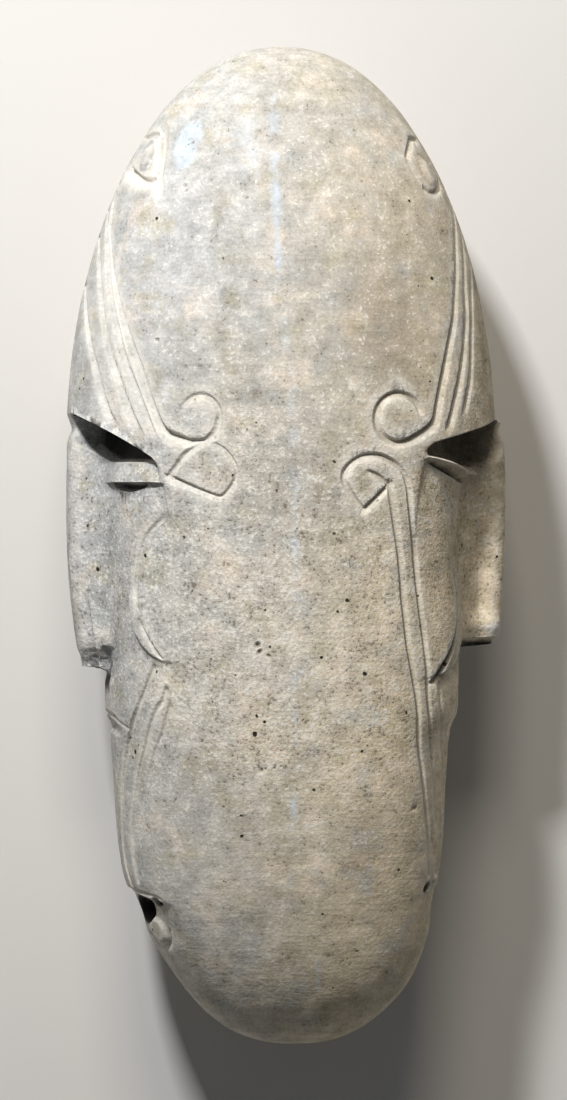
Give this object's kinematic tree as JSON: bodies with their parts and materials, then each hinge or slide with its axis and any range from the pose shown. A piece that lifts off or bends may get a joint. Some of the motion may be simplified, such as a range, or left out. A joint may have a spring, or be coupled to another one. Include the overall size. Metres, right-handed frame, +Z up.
{
  "type": "two-headed stone carving",
  "caption": "Egg-shaped stone carving of two long faces looking opposite ways from one shared skull and jaw, lying on its back.",
  "frame": {"origin": "middle of the bounding box at the bottom, on the small flat spot on the carving's back", "axes": "+Y runs from the chins to the crown, +X towards the right-hand face, +Z up, out of the side that shows"},
  "size_m": [0.1235, 0.28, 0.0888],
  "materials": {
    "stone": "pale grey-beige fine-grained stone, ground smooth by hand, pitted and weathered"
  },
  "bodies": {
    "root": {"carved_stone": "stone"}
  },
  "joints": []
}
